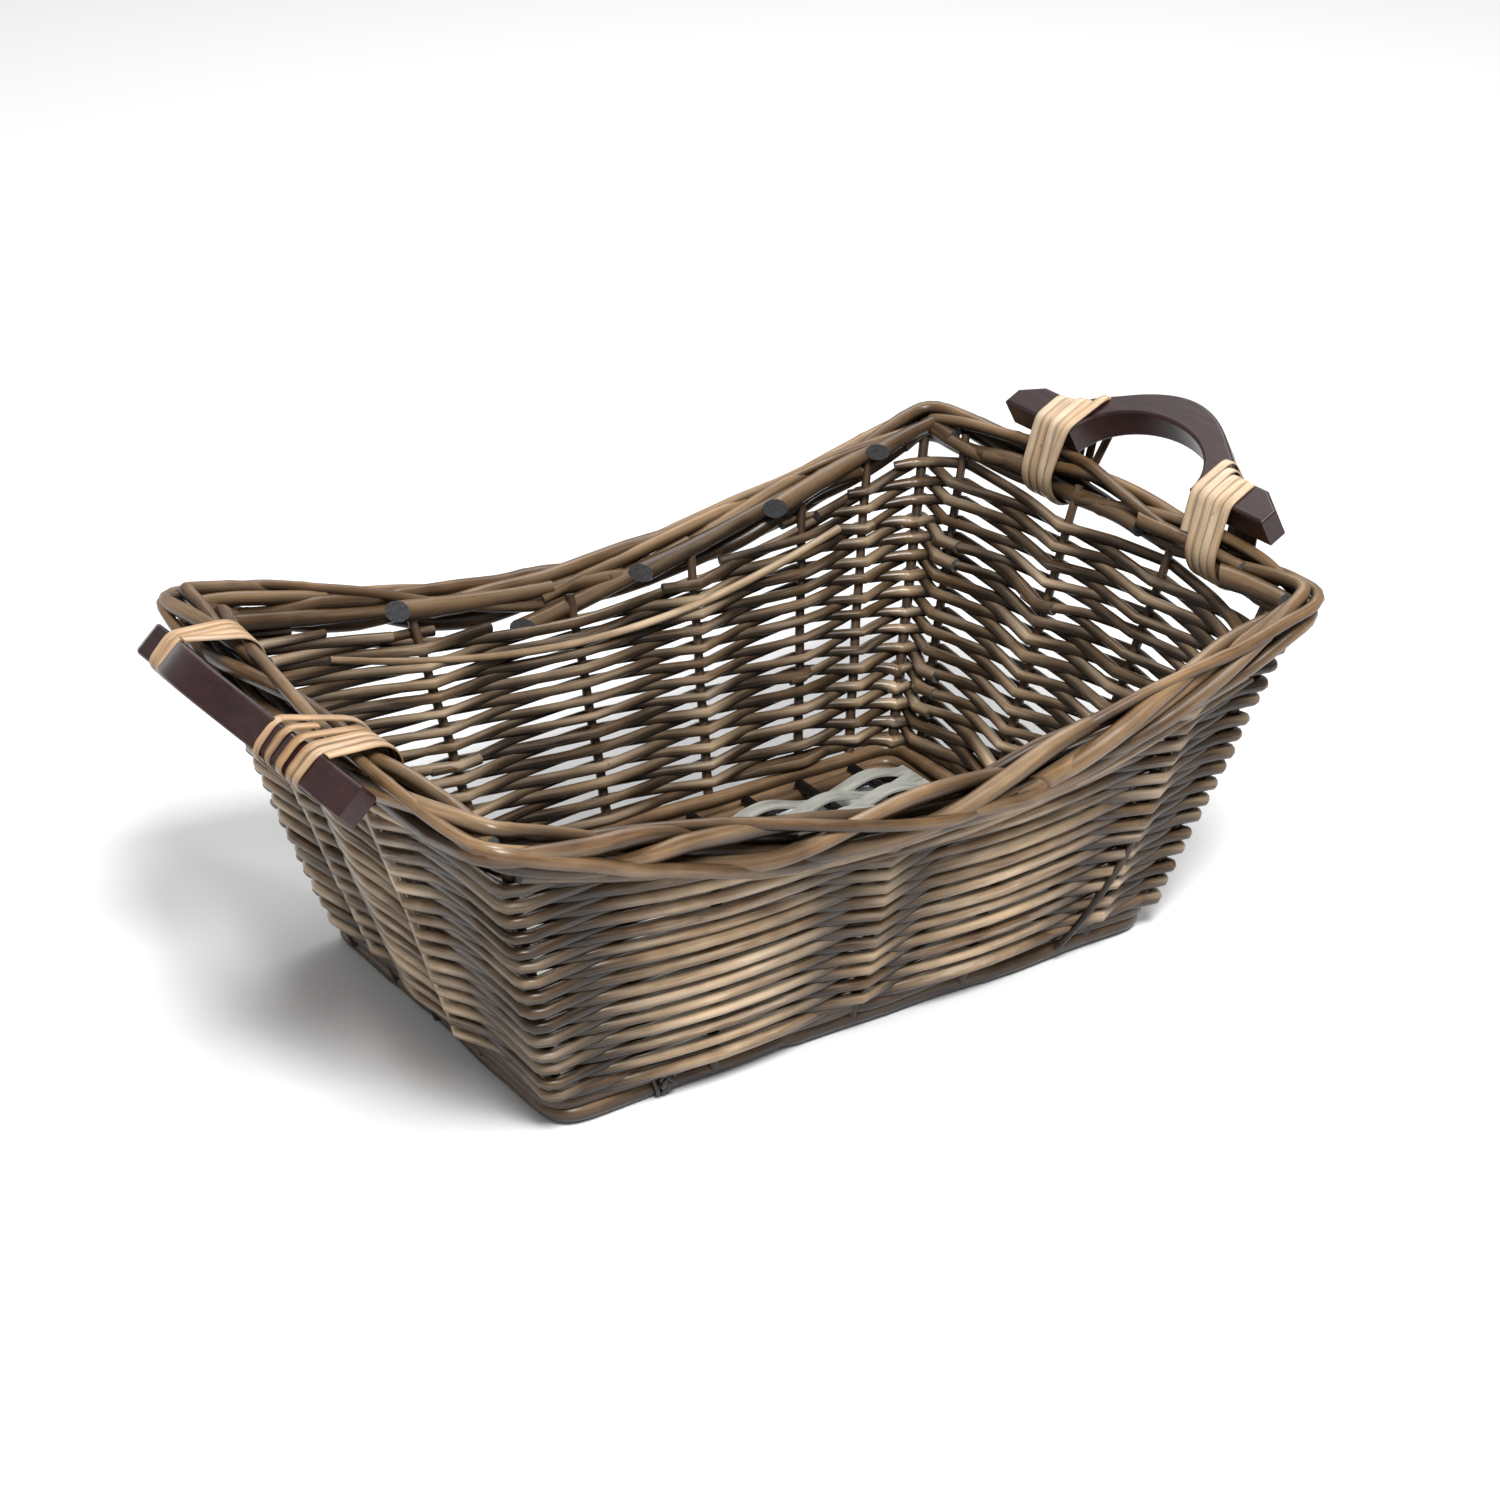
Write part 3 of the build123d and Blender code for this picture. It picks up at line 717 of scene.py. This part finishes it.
# ---------------------------------------------------------------- the rim border
STRAND_TURNS, STRANDS = 5, 4                # turns that each strand makes in going once round the rim
STRAND_OUT, STRAND_UP = 6.0, 8.2            # how far a strand swings about the border's middle
STRAND_LAP = (24, 26)                       # how far its rods run on past a joint, at the butt and at the tip
STRAND_DRAW, COUNTER_DRAW = 46, 40          # length over which the ends are drawn in
COUNTER_OUT, COUNTER_UP = 8.8, 10.6         # the swing of the rods wound the other way
COUNTER_TURNS, COUNTER_PARTS, COUNTER_LAP = 3, 3, 20
KINK_EVERY = 27.0

# thick rod ends tucked along the border: side, start, direction, length, radius, outward from and to, and
# height above the border's middle from and to
BUTTS = (
    ("back", 110, -1, 92, 5.4, (-11.5, -3), (3, 3)), ("back", 40, -1, 105, 5.4, (-12, -3), (-12, 4)),
    ("back", -30, -1, 100, 5.3, (-12, -3), (2, 5)), ("back", -112, -1, 80, 5.5, (-12, -3), (7, 5)),
    ("back", -176, -1, 38, 5.0, (-12, -8), (8, 4)), ("back", 206, -1, 110, 4.6, (-11, -4), (-6, 2)),
    ("front", 56, 1, 155, 4.9, (8.0, 3), (-4, 6)), ("right", -96, -1, 46, 5.8, (-9, -4), (-2, 1)),
    ("right", -26, -1, 80, 4.2, (-6, -3), (2, 4)), ("left", 30, 1, 120, 4.2, (7.0, 3), (-6, 2)),
    ("left", -120, 1, 70, 4.2, (-10, -3), (2, 6)))


def shade_directions(away, out):
    """Unit directions away from the bundle's middle, shortened where they point into the basket, which paints
    those faces in more shade.
    """
    away = away / np.linalg.norm(away, axis=1)[:, None]
    return away * (.75 + .25 * np.tanh(3 * (away * out).sum(axis=1)))[:, None]


def strand_cuts(strand, pitch, length):
    """Where a strand's rods are joined: at places where it passes the inside of the rim."""
    inside = [(.5 - strand / STRANDS + k) * pitch for k in range(STRAND_TURNS)]
    cuts = [inside[0]]
    for place in inside[1:]:
        if place - cuts[-1] > 1.4 * pitch or rng.uniform() < .45:
            cuts.append(place)
    return cuts + [cuts[0] + length]


def add_strand_rod(rods, track, strand, pitch, start, end):
    """One rod of a strand. Its butt starts low in the bundle and its tip stands a little clear of it."""
    s = np.arange(start - STRAND_LAP[0], end + STRAND_LAP[1], SPACING)
    phase = FULL_TURN * (s / pitch + strand / STRANDS) + .45 * np.sin(s * .016 + strand * 1.7)
    p, out = track.at(s)
    from_butt = 1 - np.clip((s - s[0]) / STRAND_DRAW, 0, 1)
    from_tip = 1 - np.clip((s[-1] - s) / STRAND_DRAW, 0, 1)
    swing_out = STRAND_OUT + 1.3 * np.sin(s * .017 + strand) + 3.5 * from_tip ** 2
    swing_up = STRAND_UP + 1.0 * np.sin(s * .023 + 2 * strand)
    q = p + out * (swing_out * np.cos(phase) - 3.0 * from_butt ** 2)[:, None]
    q[:, 2] += swing_up * np.sin(phase) - 7.5 * from_butt ** 2
    marks = np.arange(s[0], s[-1] + 30, KINK_EVERY)
    kinks = np.interp(s, marks, rng.normal(0, .75, len(marks)))
    q[:, 2] += kinks
    q += out * (rng.uniform(-.5, .5) * kinks)[:, None]
    radii = np.linspace(rng.uniform(4.5, 5.1), rng.uniform(3.1, 3.7), len(s))
    rods.add(smooth(q, 1), radii, sides=14, knots=.14, lump=.05, away=shade_directions(q - p, out))


def add_counter_rod(rods, track, strand, part):
    """A thinner rod wound the other way over the strands, with its ends drawn in."""
    share = track.length / COUNTER_PARTS
    s = np.arange(-COUNTER_LAP, share + COUNTER_LAP, SPACING) + (part + .5 * strand) * share
    phase = -FULL_TURN * (s / track.length * COUNTER_TURNS + .5 * strand) + .5 * np.sin(s * .013 + strand)
    p, out = track.at(s)
    swing = .45 + .55 * np.clip(np.minimum(s - s[0], s[-1] - s) / COUNTER_DRAW, 0, 1)
    q = p + out * (COUNTER_OUT * np.cos(phase) * swing)[:, None]
    q[:, 2] += COUNTER_UP * np.sin(phase) * swing
    q[:, 2] += np.interp(s, s[::7], rng.normal(0, .6, len(s[::7])))
    rods.add(smooth(q, 1), np.linspace(3.6, 2.8, len(s)), sides=12, knots=.14, lump=.05,
             away=shade_directions(q - p, out))


def add_butt(rods, side, start, direction, length, radius, outward, rise):
    """A thick rod end laid along the border, its cut face turned to the side it lies on."""
    points = []
    for u in np.linspace(0, 1, int(length / SPACING)):
        along = start + direction * length * u
        offset = outward[0] + (outward[1] - outward[0]) * (1 - (1 - u) ** 2)
        x, y, z = wall(side, along, RIM_MIDDLE, offset)
        points.append((x, y, z - scoop_drop(side, along) + rise[0] + (rise[1] - rise[0]) * u))
    out = np.array((*OUT[side], 0), float)
    face = out * np.sign(outward[0])
    rods.add(smooth(points, 2), np.linspace(radius, radius * .72, len(points)), sides=14, knots=.1, lump=.05,
             away=shade_directions(np.array([face] * len(points)), out), cut=face, ends=0 if side == "front" else 1)


def rim_border():
    track = Track(rim_loop())
    rods = Rods()
    pitch = track.length / STRAND_TURNS
    for strand in range(STRANDS):
        cuts = strand_cuts(strand, pitch, track.length)
        for start, end in zip(cuts[:-1], cuts[1:]):
            add_strand_rod(rods, track, strand, pitch, start, end)
    for strand in range(2):
        for part in range(COUNTER_PARTS):
            add_counter_rod(rods, track, strand, part)
    for butt in BUTTS:
        add_butt(rods, *butt)
    rods.make("border_rods", [M_BORDER, M_CUT], [f"border_{side}" for side in SIDES])


# ---------------------------------------------------------------- the foot
# rods laid round the foot: height, inset, radius, rounding of the corners, rods in one round
FOOT_RINGS = ((4.7, 0.2, 4.5, 6, 3), (12.6, .2, 4.0, 7, 3), (4.9, 8.6, 4.2, 6, 3), (19.2, -1.6, 3.1, 9, 3))
FOOT_LAP, FOOT_DRAW = 14, 30


def add_foot_rod(rods, track, ring, radius, start, end):
    """One rod round the foot, its ends tucked inwards. It never goes below the floor."""
    s = np.arange(start - FOOT_LAP, end + FOOT_LAP, SPACING)
    p, out = track.at(s)
    from_butt = 1 - np.clip((s - s[0]) / FOOT_DRAW, 0, 1)
    from_tip = 1 - np.clip((s[-1] - s) / FOOT_DRAW, 0, 1)
    wander = .8 * np.sin(s * .031 + 2 * ring) + .5 * np.sin(s * .083 + ring)
    p = p + out * (wander - 4.5 * from_butt ** 2 - 2.0 * from_tip ** 2)[:, None]
    p[:, 2] += .9 * np.sin(s * .027 + ring) + 3.0 * from_butt ** 2
    radii = np.linspace(radius * 1.06, radius * .88, len(s))
    p[:, 2] = np.maximum(p[:, 2], radii * 1.18 + .1)
    rods.add(smooth(p, 2), radii, sides=12, knots=.10, lump=.05)


def foot_border():
    rods = Rods()
    for ring, (height, inset, radius, soften, parts) in enumerate(FOOT_RINGS):
        track = Track(foot_loop(height, inset, soften))
        cuts = np.sort((np.arange(parts) + rng.uniform(.1, .6, parts)) * track.length / parts)
        for start, end in zip(cuts, [*cuts[1:], cuts[0] + track.length]):
            add_foot_rod(rods, track, ring, radius, start, end)
    rods.make("foot_rods", [M_FOOT, M_CUT], [f"foot_{side}" for side in SIDES])


# ---------------------------------------------------------------- flat cane and wire wound round an outline
OUTLINE_POINTS = 96


def hull(points):
    """Convex outline of flat points, anticlockwise."""
    points = sorted(map(tuple, points))

    def chain(seq):
        out = []
        for p in seq:
            while len(out) > 1 and ((out[-1][0] - out[-2][0]) * (p[1] - out[-2][1])
                                    - (out[-1][1] - out[-2][1]) * (p[0] - out[-2][0])) <= 0:
                out.pop()
            out.append(p)
        return out[:-1]

    return np.array(chain(points) + chain(points[::-1]))


def outline_track(points, gap):
    """The hull of flat points grown by a gap, as a closed line sampled evenly, with outward normals."""
    ring = np.linspace(0, FULL_TURN, 24, endpoint=False)
    outline = hull([(x + gap * math.cos(t), y + gap * math.sin(t)) for x, y in points for t in ring])
    outline = np.vstack([outline, outline[:1]])
    dist = lengths_along(outline)
    s = np.linspace(0, dist[-1], OUTLINE_POINTS + 1)[:-1]
    p = smooth_loop(np.stack([np.interp(s, dist, outline[:, i]) for i in (0, 1)], -1), 2)
    t = np.roll(p, -1, 0) - np.roll(p, 1, 0)
    return p, unit(np.stack([t[:, 1], -t[:, 0]], -1))


# ---------------------------------------------------------------- lashings
LEFT, RIGHT = -1, 1
HAND_LEAN = {LEFT: math.radians(43), RIGHT: math.radians(62)}
HAND_DEPTH, HAND_WIDTH, HAND_EDGE = 18.0, 16.5, 1.6
HUMP_HALF, HUMP_RISE = 66.0, 29.5
RIM_HALF = (11.2, 13.2)                     # half size of the border where cane goes round it
CANE_PITCH, CANE_WIDTH, CANE_THICK = 5.9, 5.5, 1.1
CANE_START = 62                             # point of the outline where the winding starts


def hand_place(end):
    """Middle of a handle's foot section, from its box: x outwards, y and z."""
    low, high = box_mm("handle_right" if end == RIGHT else "handle_left")
    s, c = math.sin(HAND_LEAN[end]), math.cos(HAND_LEAN[end])
    rounding = HAND_EDGE * (s + c - 1)
    inner = low[0] if end == RIGHT else -high[0]
    return (inner + HAND_DEPTH / 2 * s + HAND_WIDTH / 2 * c - rounding, (low[1] + high[1]) / 2,
            low[2] + HAND_DEPTH / 2 * c + HAND_WIDTH / 2 * s - rounding)


def hump_lift(distance):
    share = min(1.0, abs(distance) / HUMP_HALF)
    return HUMP_RISE * (1 - share * share) ** 1.4


def lashing_outline(end, y, gap):
    """Outline of the rim border and the handle foot together, cut across the rim at one place."""
    hand_x, hand_y, hand_z = hand_place(end)
    s, c = math.sin(HAND_LEAN[end]), math.cos(HAND_LEAN[end])
    rim_x = RIM_X + END_BOW * (1 - (y / RIM_Y) ** 2)
    points = [(rim_x + RIM_HALF[0] * math.cos(t), RIM_MIDDLE + RIM_HALF[1] * math.sin(t))
              for t in np.linspace(0, WOUND_TURN, 25)]
    for a in (-HAND_WIDTH / 2 + 1.2, HAND_WIDTH / 2 - 1.2):
        for b in (-HAND_DEPTH / 2 + 1.2, HAND_DEPTH / 2 - 1.2 + hump_lift(y - hand_y)):
            points.append((hand_x - a * c + b * s, hand_z + a * s + b * c))
    return outline_track(points, gap)


def lashing(end, name, turns, slant, stray, tone):
    """Cane wound round a handle foot in turns side by side. stray is where one more turn lies over them."""
    rods = Rods()
    low, high = box_mm(name)
    middle = (low[1] + high[1]) / 2
    hand_z = hand_place(end)[2]
    runs = [(middle - CANE_PITCH * turns / 2, turns, CANE_PITCH, slant, 1.5)]
    if stray:
        runs.append((middle + stray, 1.05, 0.0, slant + 7.0 * math.copysign(1, stray), 2.5))
    for start, count, pitch, lean, gap in runs:
        points, normals = [], []
        for u in np.arange(0, count, 1 / OUTLINE_POINTS):
            y = start + pitch * u
            i = (int(round(u * OUTLINE_POINTS)) + CANE_START) % OUTLINE_POINTS
            if i % 8 == 0 or not points:    # the outline changes slowly from turn to turn
                outline, outward = lashing_outline(end, y, gap)
            x, z = outline[i]
            y += lean * (z - hand_z) / 30 + .35 * math.sin(u * 6.1 + start)
            points.append((end * x, y, z))
            normals.append((end * outward[i][0], 0, outward[i][1]))
        rods.add_band(smooth(points, 4), smooth(normals, 2), CANE_WIDTH, CANE_THICK,
                      tone + rng.uniform(-.15, .15))
    rods.make("cane_" + name, [M_CANE], [name])


# ---------------------------------------------------------------- the foot tie
WIRE_R, KNOT_R = 1.15, 1.1
WIRE_TURNS, WIRE_PITCH = 5, 2.0


def wire_tie():
    """Thin dark wire twisted round the outer foot rods, with a knot in front of them."""
    rods = Rods()
    around = [(-FOOT_Y + 4.7 * math.cos(t), z + 4.5 * math.sin(t)) for t in np.linspace(0, WOUND_TURN, 25)
              for z in (5.6, 12.4)]
    outline, _ = outline_track(around, 1.0)
    x0 = box_mm("foot_tie")[0][0]
    for turn in range(WIRE_TURNS):
        line = []
        for u in np.linspace(0, 1.04, 90):
            y, z = outline[int(u * OUTLINE_POINTS) % OUTLINE_POINTS]
            x = x0 + turn * WIRE_PITCH + 2.6 * math.sin(u * WOUND_TURN + turn * 1.3)
            line.append((x, y - .2 * (turn % 3), max(z, 1.2)))
        rods.add(smooth(line, 4), WIRE_R, sides=8, ends=0)
    t = np.linspace(0, 12, 90)
    knot = np.stack([x0 + 4.5 + 3.4 * np.cos(t * 1.5),
                     -FOOT_Y - 7.6 - .8 * np.sin(t * 2),
                     11.5 + 4 * np.sin(t)], -1)
    rods.add(smooth(knot, 2), KNOT_R, sides=8, ends=0)
    rods.make("wire_tie", [M_TIE], ["foot_tie"])


# ---------------------------------------------------------------- all the pieces
lashing(RIGHT, "lashing_right_front", turns=4.3, slant=3.0, stray=0, tone=.85)
lashing(RIGHT, "lashing_right_back", turns=3.9, slant=2.0, stray=-15.0, tone=.8)
lashing(LEFT, "lashing_left_front", turns=4.1, slant=-2.0, stray=14.0, tone=.12)
lashing(LEFT, "lashing_left_back", turns=3.4, slant=2.0, stray=0, tone=.25)
wire_tie()
stake_rods()
weave()
rim_border()
foot_border()

for node, material in (("base_sticks", M_STAKE), ("floor_strips", M_STRIP),
                       ("handle_left", M_HANDLE), ("handle_right", M_HANDLE)):
    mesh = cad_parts[node].data
    mesh.materials.clear()
    mesh.materials.append(material)


# ---------------------------------------------------------------- floor, light and camera
def pale_floor():
    bpy.ops.mesh.primitive_plane_add(size=12, location=(0, 0, 0))
    floor = bpy.context.object
    floor.name = "floor"
    material, _, shader = node_material("floor_white")
    shader.inputs["Base Color"].default_value = (.95, .95, .95, 1)
    shader.inputs["Roughness"].default_value = .9
    floor.data.materials.append(material)


def white_world(strength):
    world = bpy.data.worlds.new("studio")
    world.use_nodes = True
    background = world.node_tree.nodes["Background"]
    background.inputs[0].default_value = (1, 1, 1, 1)
    background.inputs[1].default_value = strength
    bpy.context.scene.world = world


def area_light(name, place, target, size, power):
    light = bpy.data.lights.new(name, "AREA")
    light.size = size
    light.energy = power
    obj = bpy.data.objects.new(name, light)
    bpy.context.scene.collection.objects.link(obj)
    obj.location = place
    obj.rotation_euler = (Vector(target) - Vector(place)).to_track_quat("-Z", "Y").to_euler()


def camera(place, azimuth, elevation, lens):
    data = bpy.data.cameras.new("camera")
    data.sensor_width = 36
    data.lens = lens
    data.clip_start, data.clip_end = .05, 50
    obj = bpy.data.objects.new("camera", data)
    bpy.context.scene.collection.objects.link(obj)
    obj.location = place
    az, el = math.radians(azimuth), math.radians(elevation)
    toward_camera = Vector((math.sin(az) * math.cos(el), -math.cos(az) * math.cos(el), math.sin(el)))
    obj.rotation_mode = "QUATERNION"
    obj.rotation_quaternion = (-toward_camera).to_track_quat("-Z", "Y")
    bpy.context.scene.camera = obj


pale_floor()
white_world(.42)
area_light("key", (-.35, -1.25, 2.1), (0, 0, .08), size=.75, power=66)
area_light("rim", (1.0, 1.2, 2.2), (0, 0, .1), size=1.6, power=26)
camera((-.8057 + SHIFT[0] * MM, -1.2209, .8184), azimuth=-33.59, elevation=26.18, lens=81.45)
bpy.context.scene.view_settings.view_transform = "Standard"
